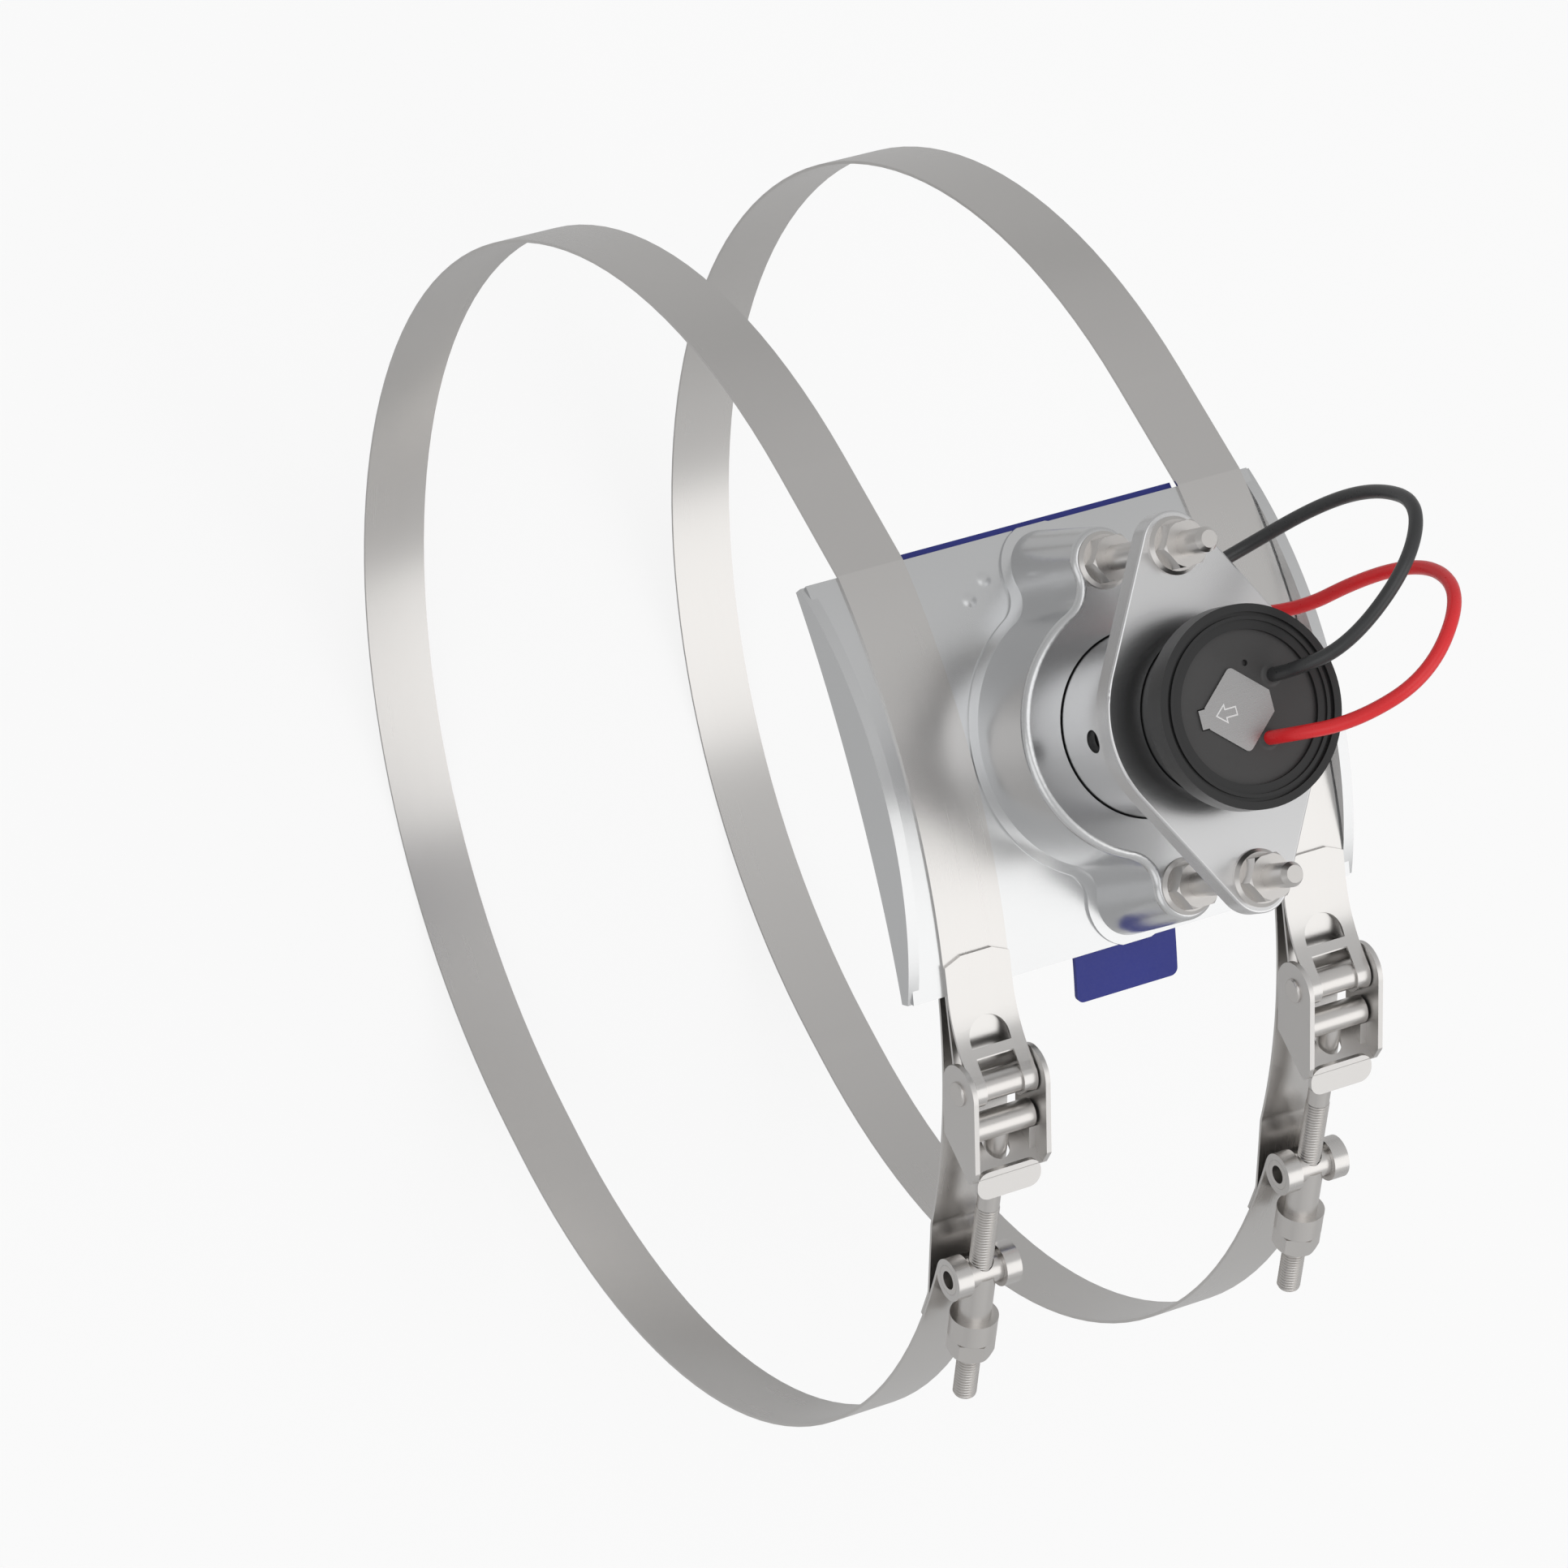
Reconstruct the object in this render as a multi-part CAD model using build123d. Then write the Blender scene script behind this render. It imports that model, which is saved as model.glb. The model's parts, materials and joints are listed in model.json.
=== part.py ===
from build123d import *
from math import acos, atan2, cos, degrees, hypot, pi, radians, sin, sqrt
import os

os.makedirs("parts", exist_ok=True)

# Ultrasonic flow sensor on its saddle, held by two band clamps.
# Millimetres and degrees. The origin is on the axis of the two bands, X runs along that axis
# and Z runs outward along the sensor. Angles round the axis start at +Z and grow towards +Y.

# Round surface that everything is bent to
pipe_radius = 161.925

# Saddle sheet, gasket and the raised ridge across each end of the saddle
gasket_thickness = 2.0
gasket_ring_height = 0.6
sheet_thickness = 1.5
saddle_half_angle = 19.3
saddle_half_length = 66.0
ridge_height = 10.1
ridge_crest_radius = 96.1
ridge_crest_start = 64.1
ridge_crest_end = 67.2
ridge_end_slope = 0.3
ridge_inner_slope = 0.03
ridge_depth = 22.0
saddle_clearance = 0.6

# Drawn boss in the middle of the saddle
boss_rise = 28.075
boss_root_depth = 7.925
boss_body_radius = 34.4
boss_body_flare = 1.0
boss_ear_radius = 8.5
boss_ear_flare = 2.6
boss_neck_radius = 8.0
boss_edge_radius = 2.0
boss_bead_width = 2.2
boss_bead_height = 1.0
boss_wall = 2.2
boss_tube_radius = 27.0
ear_offset = 42.4

# Sensor bore, collar and flange
bore_radius = 20.0
seat_depth = 14.0
collar_radius = 23.8
collar_gap = 0.4
collar_rise = 30.6
collar_hole_radius = 3.0
collar_hole_rise = 15.0
collar_shoulder_wall = 1.1
flange_thickness = 6.5
flange_radius = 30.5
flange_ear_radius = 8.8
flange_edge_radius = 0.6
fit_clearance = 0.3

# Studs and flanged nuts
stud_radius = 3.175
stud_reach = 17.9
stud_depth = 14.0
stud_tip_length = 1.6
stud_hole_clearance = 0.35
nut_across_flats = 11.1
nut_flange_radius = 7.35
nut_flange_thickness = 1.5
nut_height = 6.6

# Sensor body, its rim and its probe
body_radius = 21.2
shoulder_thickness = 4.0
rim_radius = 25.4
rim_rise = 17.6
rim_height = 6.6
rim_flare = 2.6
rim_ring_width = 2.0
rim_groove_depth = 1.0
recess_radius = 19.2
recess_depth = 2.0
potting_thickness = 4.0
cavity_radius = 18.0
lower_cavity_radius = 16.0
cavity_floor_depth = 6.0
board_room = 14.7
board_thickness = 1.6
board_parts = ((-5, 2, 8, 8, 1.4), (7, -3, 5, 7, 1.1), (2, 9, 4, 3, 2.2))
probe_reach = 45.925
probe_edge_radius = 4.0
window_half_width = 10.0
window_tip_wall = 8.0
window_height = 20.0
transducer_radius = 4.0
transducer_thickness = 2.4
transducer_distance = 16.0
transducer_angle = 51.0
ring_section_radius = 1.2
ring_depths = (3.0, 7.5)
ring_clearance = 0.05

# Bare tag plate and the two leads
tag_thickness = 0.6
tag_tip_x = -2.7
tag_tip_y = 10.9
tag_left = -12.1
tag_right = 6.7
tag_side_y = 2.7
tag_lip = 1.9
vent_place = (2.2, 10.7)
vent_radius = 0.8
lead_radius = 1.8
lead_root_depth = 2.5

# Gasket outline: its edges round the axis, and the tab below the saddle
gasket_half_length = 44.0
gasket_ring_width = 4.0
gasket_top_angle = 20.0
gasket_bottom_angle = -16.6
tab_start = -17.3
tab_end = 13.0
tab_angle = -24.1
tab_corner = 2.0

# Band clamps: strip, its loops and where each clamp stands along the axis
clamp_places = {"left": -47.4, "right": 54.1}
band_width = 19.05
band_thickness = 0.8
lap_angle = -15.8
lap_clip_across = 5.0
lap_clip_along = 2.1
turn_up_angle = -18.3
turn_up_run = 13.2
turn_up_radius = 39.0
lap_split_run = 3.0
lap_bend_radius = 20.0
leave_angle = -150.0
bulge_radius = 160.0
tail_lean = 9.0
tongue_start = -17.2
tongue_lift_angle = -44.0
tongue_foot_start = 12.0
tongue_foot = 9.0
tongue_bend_radius = 6.0
tongue_lift_run = 1.5
tongue_gap = 0.1

# Clamp line: the bolt's axis, as a chord tangent at clamp_angle
clamp_angle = 39.2
bolt_rise = 10.275
head_place = -24.8
trunnion_place = 25.8
pivot_place = -35.4
pivot_rise = 7.375
latch_tilt = 12.5

# Latch
latch_plate = 1.4
latch_side_gap = 0.4
latch_front = 7.6
latch_back = 7.6
latch_back_end = 14.7
latch_foot_end = 24.7
latch_foot_rise = 4.7
latch_front_end = 20.3
latch_corner_radius = 1.0
latch_slot_clearance = 0.6
latch_slot_end = 2.4
latch_tab = 5.0
latch_tab_corner = 3.5
latch_stop_width = 1.8
latch_stop_reach = 2.0
pin_radius = 2.3
pin_head_radius = 3.3
pin_head_height = 0.9
sleeve_radius = 3.9
loop_clearance = 0.05

# Bolt with its cross head, trunnion, washer and nut
bolt_radius = 3.175
bolt_shank_radius = 3.0
thread_start = 3.6
bolt_end = 68.7
bolt_tip_chamfer = 0.8
head_radius = 3.75
head_end_gap = 0.5
trunnion_radius = 4.0
trunnion_bore = 2.5
trunnion_loop_wall = 1.7
trunnion_sleeve_radius = 4.45
trunnion_sleeve_length = 14.7
bolt_clearance = 0.15
nut_clearance = 0.05
washer_radius = 6.45
washer_thickness = 1.2
collar_nut_radius = 6.4
collar_nut_height = 6.2
hex_height = 5.8

# Openings in the strip: window at the pin sleeve, pocket behind it, and gap at the trunnion
window_width = 11.0
window_start = 8.0
window_back = 1.0
pocket_radius = 5.8
pocket_straight = 1.9
pocket_start = 9.0
eye_gap = 10.0

# Sizes worked out from the ones above
plate_inner = pipe_radius + gasket_thickness
plate_outer = plate_inner + sheet_thickness
ridge_centre = pipe_radius + ridge_height - ridge_crest_radius
boss_top = pipe_radius + boss_rise
boss_root = pipe_radius - boss_root_depth
seat_height = boss_top - seat_depth
collar_top = boss_top + collar_rise
collar_hole_height = boss_top + collar_hole_rise
flange_top = collar_top + flange_thickness
stud_top = flange_top + stud_reach
rim_top = flange_top + rim_rise
collar_bore = body_radius + fit_clearance
shoulder_radius = collar_radius - collar_shoulder_wall - fit_clearance
probe_radius = bore_radius - 0.4
potting_top = rim_top - recess_depth
board_height = potting_top - potting_thickness - board_room
cavity_floor = boss_top - cavity_floor_depth
probe_tip = pipe_radius - probe_reach
window_bottom = probe_tip + window_tip_wall
window_top = window_bottom + window_height
ring_heights = [seat_height - depth for depth in ring_depths]
latch_half = band_width / 2 + latch_side_gap
loop_middle = sleeve_radius + loop_clearance + band_thickness / 2
loop_outer = loop_middle + band_thickness / 2
trunnion_loop_outer = trunnion_radius + loop_clearance + trunnion_loop_wall
trunnion_loop_middle = trunnion_loop_outer - band_thickness / 2
bolt_line = pipe_radius + bolt_rise
head_reach = hypot(head_place - pivot_place, bolt_rise - pivot_rise) + head_radius

across = Plane(origin=(0, 0, 0), x_dir=(0, 1, 0), z_dir=(1, 0, 0))


def polar(radius, angle):
    """Point of the plane across the axis, from its radius and its angle from +Z."""
    return Vector(radius * sin(radians(angle)), radius * cos(radians(angle)))


def along(angle):
    """Unit direction round the axis at an angle, towards falling angles."""
    return Vector(-cos(radians(angle)), sin(radians(angle)))


def pipe_arc(radius, start, end):
    return ThreePointArc(polar(radius, start), polar(radius, (start + end) / 2), polar(radius, end))


def sector(inner, outer, start, end):
    """Face across the axis between two radii and two angles."""
    return make_face([
        pipe_arc(outer, start, end),
        Line(polar(outer, end), polar(inner, end)),
        pipe_arc(inner, end, start),
        Line(polar(inner, start), polar(outer, start)),
    ])


def extrude_across(face, width, centre=0.0):
    """Solid of a face across the axis, made equally to both sides of a place along it."""
    return Pos(centre, 0, 0) * extrude(across * face, amount=width / 2, both=True)


def post(radius, bottom, top, place=(0, 0)):
    return Pos(place[0], place[1], (bottom + top) / 2) * Cylinder(radius, top - bottom)


def crossing(point_a, direction_a, point_b, direction_b):
    """Where two lines of one plane meet."""
    gap = point_b - point_a
    turn = direction_a.X * direction_b.Y - direction_a.Y * direction_b.X
    share = (gap.X * direction_b.Y - gap.Y * direction_b.X) / turn
    return point_a + direction_a * share


def tangent_from(point, centre, radius, side):
    """Point where the line from a point touches a circle, on one side of it."""
    gap = centre - point
    angle = atan2(gap.Y, gap.X) + side * (pi / 2 - acos(radius / gap.length))
    reach = sqrt(gap.length ** 2 - radius ** 2)
    return point + Vector(cos(angle), sin(angle)) * reach


# Saddle

def boss_outline(body, ear, neck):
    """Round body with an ear above and below it, and hollow necks between them."""
    outline = Circle(body)
    for side in (1, -1):
        outline += Pos(0, side * ear_offset) * Circle(ear)
    corners = outline.vertices().filter_by(lambda v: abs(v.X) < ear and abs(v.Y) < ear_offset - 1)
    return fillet(corners, neck)


def boss_form():
    """Outside of the boss, drawn in towards its flat top."""
    root = boss_outline(
        boss_body_radius + boss_body_flare, boss_ear_radius + boss_ear_flare, boss_neck_radius)
    top = boss_outline(boss_body_radius, boss_ear_radius, boss_neck_radius)
    form = loft([Pos(0, 0, boss_root) * root, Pos(0, 0, boss_top) * top])
    return fillet(form.faces().sort_by(Axis.Z)[-1].edges(), boss_edge_radius)


def boss_bead():
    """Low rounded bead where the boss rises from the sheet."""
    outline = boss_outline(
        boss_body_radius + boss_body_flare + boss_bead_width,
        boss_ear_radius + boss_ear_flare + boss_bead_width, boss_neck_radius)
    column = extrude(Pos(0, 0, boss_root) * outline, boss_top - boss_root)
    face = sector(plate_inner, plate_outer + boss_bead_height, -saddle_half_angle, saddle_half_angle)
    return column & extrude_across(face, 2 * saddle_half_length)


def ridge_profile():
    """Section of an end ridge: end wall leaning out, flat crest and inner slope."""
    crest = ridge_centre + ridge_crest_radius
    foot = crest - ridge_depth
    return Polyline(
        (ridge_crest_end, crest),
        (ridge_crest_start, crest),
        (ridge_crest_start - ridge_inner_slope * ridge_depth, foot),
        (ridge_crest_end + ridge_end_slope * ridge_depth, foot),
        close=True,
    )


def make_saddle():
    plate = sector(plate_inner, plate_outer, -saddle_half_angle, saddle_half_angle)
    saddle = extrude_across(plate, 2 * saddle_half_length)
    wedge = extrude_across(
        sector(pipe_radius, boss_top, -saddle_half_angle, saddle_half_angle), 4 * saddle_half_length)
    crest_axis = Axis((0, 0, ridge_centre), (1, 0, 0))
    section = make_face(Plane.XZ * ridge_profile())
    hollow_section = offset(section, -sheet_thickness, kind=Kind.INTERSECTION)
    for turn in (0, 180):
        saddle += Rot(0, 0, turn) * (revolve(section, crest_axis) & wedge)
    saddle += boss_bead()
    saddle += boss_form()
    for turn in (0, 180):
        saddle -= Rot(0, 0, turn) * revolve(hollow_section, crest_axis)
    reach = 3 * saddle_half_angle
    gasket_room = sector(0.5 * pipe_radius, plate_inner, -reach, reach)
    room_length = 2 * (ridge_crest_start + sheet_thickness)
    saddle -= extrude_across(gasket_room, room_length)
    pipe_room = sector(0.5 * pipe_radius, pipe_radius + saddle_clearance, -reach, reach)
    saddle -= extrude_across(pipe_room, 4 * saddle_half_length)
    inner_top = boss_top - seat_depth / 4
    ring = Pos(0, 0, boss_root) * Cone(
        boss_body_radius + boss_body_flare - boss_wall, boss_body_radius - boss_wall,
        inner_top - boss_root, align=(Align.CENTER, Align.CENTER, Align.MIN))
    saddle -= ring - post(boss_tube_radius, boss_root, inner_top)
    saddle -= post(bore_radius, boss_root, boss_top)
    saddle -= post(collar_radius + collar_gap, seat_height, boss_top)
    for side in (1, -1):
        saddle -= post(stud_radius, boss_top - stud_depth, boss_top, (0, side * ear_offset))
    return saddle


# Gasket

def make_gasket():
    """Bent rubber sheet with a tab, and a raised ring round the probe that seals under it."""
    inner = pipe_radius + gasket_ring_height
    sheet = extrude_across(
        sector(inner, plate_inner, gasket_bottom_angle, gasket_top_angle), 2 * gasket_half_length)
    tab_width = tab_end - tab_start
    tab = extrude_across(
        sector(inner, plate_inner, tab_angle, gasket_bottom_angle),
        tab_width, (tab_start + tab_end) / 2)
    thickness = plate_inner - inner
    low_edges = tab.edges().filter_by(lambda e: abs(e.length - thickness) < 0.01)
    tab = fillet(low_edges.sort_by(Axis.Y)[:2], tab_corner)
    hole_radius = bore_radius + fit_clearance
    pad = extrude_across(
        sector(pipe_radius, plate_inner, gasket_bottom_angle, -gasket_bottom_angle),
        2 * gasket_half_length)
    ring = post(hole_radius + gasket_ring_width, boss_root, boss_top) & pad
    return sheet + tab + ring - post(hole_radius, boss_root, boss_top)


# Collar, flange, studs and nuts

def make_collar():
    collar = post(collar_radius, seat_height, collar_top)
    collar -= post(collar_bore, seat_height, collar_top)
    collar -= post(shoulder_radius + fit_clearance, collar_top - shoulder_thickness, collar_top)
    hole = Pos(-collar_radius, 0, collar_hole_height) * Rot(0, 90, 0) * Cylinder(
        collar_hole_radius, 2 * (collar_radius - collar_bore) + 1)
    return collar - hole


def make_flange():
    ears = [Pos(0, side * ear_offset) * Circle(flange_ear_radius) for side in (1, -1)]
    outline = make_hull(Circle(flange_radius).edges() + ears[0].edges() + ears[1].edges())
    plate = extrude(Pos(0, 0, collar_top) * outline, flange_thickness)
    rims = plate.faces().sort_by(Axis.Z)[-1].edges() + plate.faces().sort_by(Axis.Z)[0].edges()
    plate = fillet(rims, flange_edge_radius)
    plate -= post(collar_bore, collar_top, flange_top)
    for side in (1, -1):
        plate -= post(
            stud_radius + stud_hole_clearance, collar_top, flange_top, (0, side * ear_offset))
    return plate


def make_stud(side):
    stud = post(stud_radius, boss_top - stud_depth, stud_top, (0, side * ear_offset))
    return chamfer(stud.edges().sort_by(Axis.Z)[-1], stud_tip_length, 0.3 * stud_radius)


def make_flange_nut(side, base):
    """Hexagon nut on a round, slightly coned flange."""
    flange = Cylinder(
        nut_flange_radius, nut_flange_thickness, align=(Align.CENTER, Align.CENTER, Align.MIN))
    flange = chamfer(flange.edges().sort_by(Axis.Z)[-1], 0.6 * nut_flange_thickness)
    nut = flange + extrude(RegularPolygon(nut_across_flats / 2, 6, major_radius=False), nut_height)
    round_off = Cylinder(
        nut_across_flats / 2 / cos(radians(30)), nut_height,
        align=(Align.CENTER, Align.CENTER, Align.MIN))
    nut &= flange + chamfer(round_off.edges().sort_by(Axis.Z)[-1], 0.6)
    nut -= Cylinder(stud_radius, 3 * nut_height)
    return Pos(0, side * ear_offset, base) * nut


# Sensor

def make_sensor_body():
    """Turned body: probe, seat, shoulder and stepped rim, with the window across the probe."""
    ring_edge = rim_radius - rim_ring_width
    flare_foot = rim_top - rim_height - rim_flare
    outside = Polyline(
        (0, probe_tip),
        (probe_radius, probe_tip),
        (probe_radius, seat_height),
        (body_radius, seat_height),
        (body_radius, collar_top - shoulder_thickness),
        (shoulder_radius, collar_top - shoulder_thickness),
        (shoulder_radius, collar_top),
        (body_radius, collar_top),
        (body_radius, flare_foot),
        (rim_radius, flare_foot + rim_flare),
        (rim_radius, rim_top),
        (ring_edge, rim_top),
        (ring_edge, rim_top - rim_groove_depth),
        (ring_edge - 1, rim_top - rim_groove_depth),
        (ring_edge - 1, rim_top - 0.3 * rim_groove_depth),
        (ring_edge - 1.9, rim_top - 0.3 * rim_groove_depth),
        (ring_edge - 1.9, rim_top - 0.9 * rim_groove_depth),
        (recess_radius, rim_top - 0.9 * rim_groove_depth),
        (recess_radius, potting_top - potting_thickness),
        (cavity_radius, potting_top - potting_thickness),
        (cavity_radius, board_height),
        (lower_cavity_radius, board_height),
        (lower_cavity_radius, cavity_floor),
        (0, cavity_floor),
        close=True,
    )
    body = revolve(make_face(Plane.XZ * outside), Axis.Z)
    tip = body.edges().filter_by(GeomType.CIRCLE).sort_by(Axis.Z)[0]
    body = fillet(tip, probe_edge_radius)
    window = Pos(0, 0, (window_bottom + window_top) / 2) * Box(
        3 * probe_radius, 2 * window_half_width, window_top - window_bottom)
    body -= window
    for turn in (0, 180):
        body -= transducer_form(turn, transducer_distance)
    for height in ring_heights:
        groove = post(2 * probe_radius, height - 1.5, height + 1.5)
        groove -= post(
            bore_radius - 2 * ring_section_radius - 2 * ring_clearance, height - 2, height + 2)
        body -= groove
    return body


def transducer_form(turn, forward=0.0):
    """Cylinder on the slanting sound path across the window, lengthened towards the middle."""
    start = transducer_distance - forward
    cylinder = Cylinder(
        transducer_radius, transducer_thickness + forward,
        align=(Align.CENTER, Align.CENTER, Align.MIN))
    middle = (window_bottom + window_top) / 2
    return Rot(0, 0, turn) * Pos(0, 0, middle) * Rot(0, 0, -transducer_angle) * Pos(
        start, 0, 0) * Rot(0, 90, 0) * cylinder


def make_o_ring(height):
    middle = bore_radius - ring_clearance - ring_section_radius
    return Pos(0, 0, height) * Torus(middle, ring_section_radius)


def make_potting():
    disc = post(recess_radius, potting_top - potting_thickness, potting_top)
    disc -= post(vent_radius, potting_top - 1, potting_top, vent_place)
    slot = Pos(tag_left - tag_lip / 2, 0, potting_top) * Box(tag_lip, 2 * tag_side_y, 2)
    disc -= slot
    for route in lead_routes.values():
        disc -= post(lead_radius, route[0][2], potting_top, route[0])
    return disc


def make_tag():
    outline = make_face(Polyline(
        (tag_tip_x, tag_tip_y), (tag_right, tag_side_y), (tag_right, -tag_side_y),
        (tag_tip_x, -tag_tip_y), (tag_left, -tag_side_y), (tag_left, tag_side_y), close=True))
    tips = outline.vertices().filter_by(lambda v: abs(v.Y) > tag_side_y + 1)
    outline = fillet(tips, 1.5)
    tag = extrude(Pos(0, 0, potting_top) * outline, tag_thickness)
    reach = Pos(tag_left - tag_lip / 2 + 0.2, 0, potting_top + tag_thickness / 2) * Box(
        tag_lip - 0.4, 2 * tag_side_y - 0.6, tag_thickness)
    lip = Pos(tag_left - tag_lip + 0.3, 0, potting_top - 0.2) * Box(
        tag_thickness, 2 * tag_side_y - 0.6, 1 + tag_thickness)
    return tag + reach + lip


def make_board():
    board = post(cavity_radius - 0.2, board_height, board_height + board_thickness)
    for x, y, length, width, height in board_parts:
        board += Pos(x, y, board_height + board_thickness + height / 2) * Box(length, width, height)
    return board


# Leads: points of each route with heights over the potting, from its seat to its bare end

lead_points = {
    "black": [
        (8.6, 6.0, -lead_root_depth), (8.6, 6.0, 9.3), (19.5, 9.0, 21.8), (36.0, 24.0, 30.3),
        (48.0, 38.0, 23.3), (49.5, 43.5, 3.3), (45.0, 43.0, -17.7), (30.0, 36.0, -38.7),
        (11.0, 31.5, -39.7)],
    "red": [
        (3.5, -8.7, -lead_root_depth), (3.5, -8.7, 8.3), (16.0, -9.5, 21.3), (33.0, -3.0, 32.3),
        (49.0, 13.0, 29.3), (55.0, 22.0, 11.3), (50.0, 23.0, -10.7), (36.0, 17.0, -34.7),
        (24.0, 22.0, -42.7)],
}
lead_routes = {
    name: [(x, y, potting_top + height) for x, y, height in points]
    for name, points in lead_points.items()
}


def cord_radius(points):
    """Bend radius that fits every corner of a route."""
    radii = []
    for before, here, after in zip(points, points[1:], points[2:]):
        one = Vector(*here) - Vector(*before)
        two = Vector(*after) - Vector(*here)
        half_turn = radians(one.get_angle(two)) / 2
        radii.append(0.45 * min(one.length, two.length) * cos(half_turn) / sin(half_turn))
    return radii


def make_lead(name):
    points = lead_routes[name]
    radii = cord_radius(points)
    print(name, "lead bend radii", [round(r, 1) for r in radii])
    path = FilletPolyline(*points, radius=min(radii))
    start = Plane(origin=path @ 0, z_dir=path % 0)
    return sweep(start * Circle(lead_radius), path)


# Band clamps, drawn across the axis

clamp_along = along(-clamp_angle)
clamp_out = polar(1, -clamp_angle)


def clamp_point(place, height):
    """Point from its place along the bolt line and its height over the axis."""
    return clamp_along * place + clamp_out * height


pivot = clamp_point(pivot_place, pipe_radius + pivot_rise)
trunnion_centre = clamp_point(trunnion_place, bolt_line)
tail_direction = along(-clamp_angle - tail_lean)
tail_out = polar(1, -clamp_angle - tail_lean)


def frame_at(point, direction):
    """Plane across the axis with its x along a direction and its y outward."""
    return Plane(
        origin=(0, point.X, point.Y), x_dir=(0, direction.X, direction.Y), z_dir=(-1, 0, 0))


bolt_frame = frame_at(clamp_point(0, bolt_line), clamp_along)
trunnion_frame = frame_at(trunnion_centre, clamp_along)
latch_frame = frame_at(pivot, along(latch_tilt - clamp_angle))


def strip(edges):
    """Sheet strip along a path across the axis."""
    return extrude_across(trace(edges, band_thickness), band_width)


def lap_line(level):
    """Start over the saddle's edge, corner and loop touch of a lap at a level over the saddle."""
    start = polar(plate_outer + level, turn_up_angle)
    corner = start + along(turn_up_angle) * turn_up_run
    return start, corner, tangent_from(corner, pivot, loop_middle, -1)


def make_outer_lap():
    """Top lap: clipped end, turn up over the saddle's edge, and run to the outside of the loop."""
    level = 1.5 * band_thickness
    start, corner, touch = lap_line(level)
    line = FilletPolyline(start, corner, touch, radius=turn_up_radius)
    lap = strip([pipe_arc(plate_outer + level, lap_angle, turn_up_angle), *line.edges()])
    end = frame_at(polar(plate_outer + level, lap_angle), along(lap_angle))
    for side in (1, -1):
        corner_cut = make_face(Polyline(
            (0, side * (band_width / 2 - lap_clip_across)), (lap_clip_along, side * band_width / 2),
            (0, side * band_width / 2), close=True))
        facing = Plane(origin=end.origin, x_dir=end.x_dir, z_dir=end.y_dir)
        lap -= extrude(facing * corner_cut, amount=band_thickness, both=True)
    # round-topped pocket through the top lap, behind the bar that closes the window
    share = 1 - pocket_start / line.length
    seat = frame_at(line @ share, line % share)
    pocket = Pos(-pocket_straight, 0) * Circle(pocket_radius) + Pos(-pocket_straight / 2, 0) * Rectangle(
        pocket_straight, 2 * pocket_radius)
    pocket &= Pos(-2 * pocket_radius, 0) * Rectangle(4 * pocket_radius, 2 * pocket_radius)
    facing = Plane(origin=seat.origin, x_dir=seat.x_dir, z_dir=seat.y_dir)
    return lap - extrude(facing * pocket, amount=2 * band_thickness, both=True)


def make_loop():
    """Loop round the latch pin and the inner lap that it returns to."""
    touch = lap_line(1.5 * band_thickness)[2]
    start = lap_line(0.5 * band_thickness)[0]
    inner_corner = start + along(turn_up_angle) * lap_split_run
    inner_touch = tangent_from(inner_corner, pivot, loop_middle, 1)
    inner_line = FilletPolyline(start, inner_corner, inner_touch, radius=lap_bend_radius)
    middle = (touch + inner_touch) * 0.5
    far_side = pivot + (pivot - middle).normalized() * loop_middle
    return strip([ThreePointArc(touch, far_side, inner_touch), *inner_line.edges()])


def free_stretch():
    """Stretch that stands off the round surface, from its touch on the trunnion's loop."""
    touch = trunnion_centre - tail_out * trunnion_loop_middle
    leave = polar(pipe_radius + band_thickness / 2, leave_angle)
    bend = crossing(touch, tail_direction, leave, along(leave_angle))
    return FilletPolyline(touch, bend, leave, radius=bulge_radius)


def make_band():
    half = band_thickness / 2
    band = make_outer_lap() + make_loop()
    # over the saddle, down onto the round surface and round its back
    edge = polar(plate_outer + half, saddle_half_angle)
    landing = saddle_half_angle + degrees(acos((pipe_radius + half) / (plate_outer + half)))
    band += strip([
        pipe_arc(plate_outer + half, turn_up_angle, saddle_half_angle),
        Line(edge, polar(pipe_radius + half, landing)),
        pipe_arc(pipe_radius + half, landing, 360 + leave_angle)])
    # free stretch and the loop round the trunnion that it ends in
    band += strip(free_stretch().edges())
    eye = Circle(trunnion_loop_outer) - Circle(trunnion_radius + loop_clearance)
    band += extrude_across(Pos(trunnion_centre.X, trunnion_centre.Y) * eye, band_width)
    # windows for the pin sleeve, and for the bolt and the trunnion's sleeve
    window = Pos((loop_outer - window_start) / 2, loop_outer, 0) * Box(
        loop_outer + window_start, 2 * loop_outer + 2 * window_back, window_width)
    band -= latch_frame * window
    gap = Pos(0, trunnion_loop_outer - band_thickness / 2, 0) * Box(
        3 * trunnion_loop_outer, 4 * trunnion_loop_outer - 3 * band_thickness, eye_gap)
    return band - trunnion_frame * gap


def make_tongue():
    """Strip on the round surface under the bolt, welded by its foot inside the free stretch."""
    level = pipe_radius + band_thickness / 2
    outer = free_stretch()
    share = (tongue_foot_start + tongue_foot / 2) / outer.length
    lie = outer % share
    inward = Vector(-lie.Y, lie.X)
    middle = outer @ share + inward * (band_thickness + tongue_gap)
    foot_start = middle - lie * tongue_foot / 2
    foot_end = middle + lie * tongue_foot / 2
    lift = polar(level, tongue_lift_angle)
    corner = lift + along(tongue_lift_angle) * tongue_lift_run
    ramp = FilletPolyline(lift, corner, foot_start, foot_end, radius=tongue_bend_radius)
    return strip([pipe_arc(level, tongue_start, tongue_lift_angle), *ramp.edges()])


# Latch, its pin and the sleeve in the loop

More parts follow.
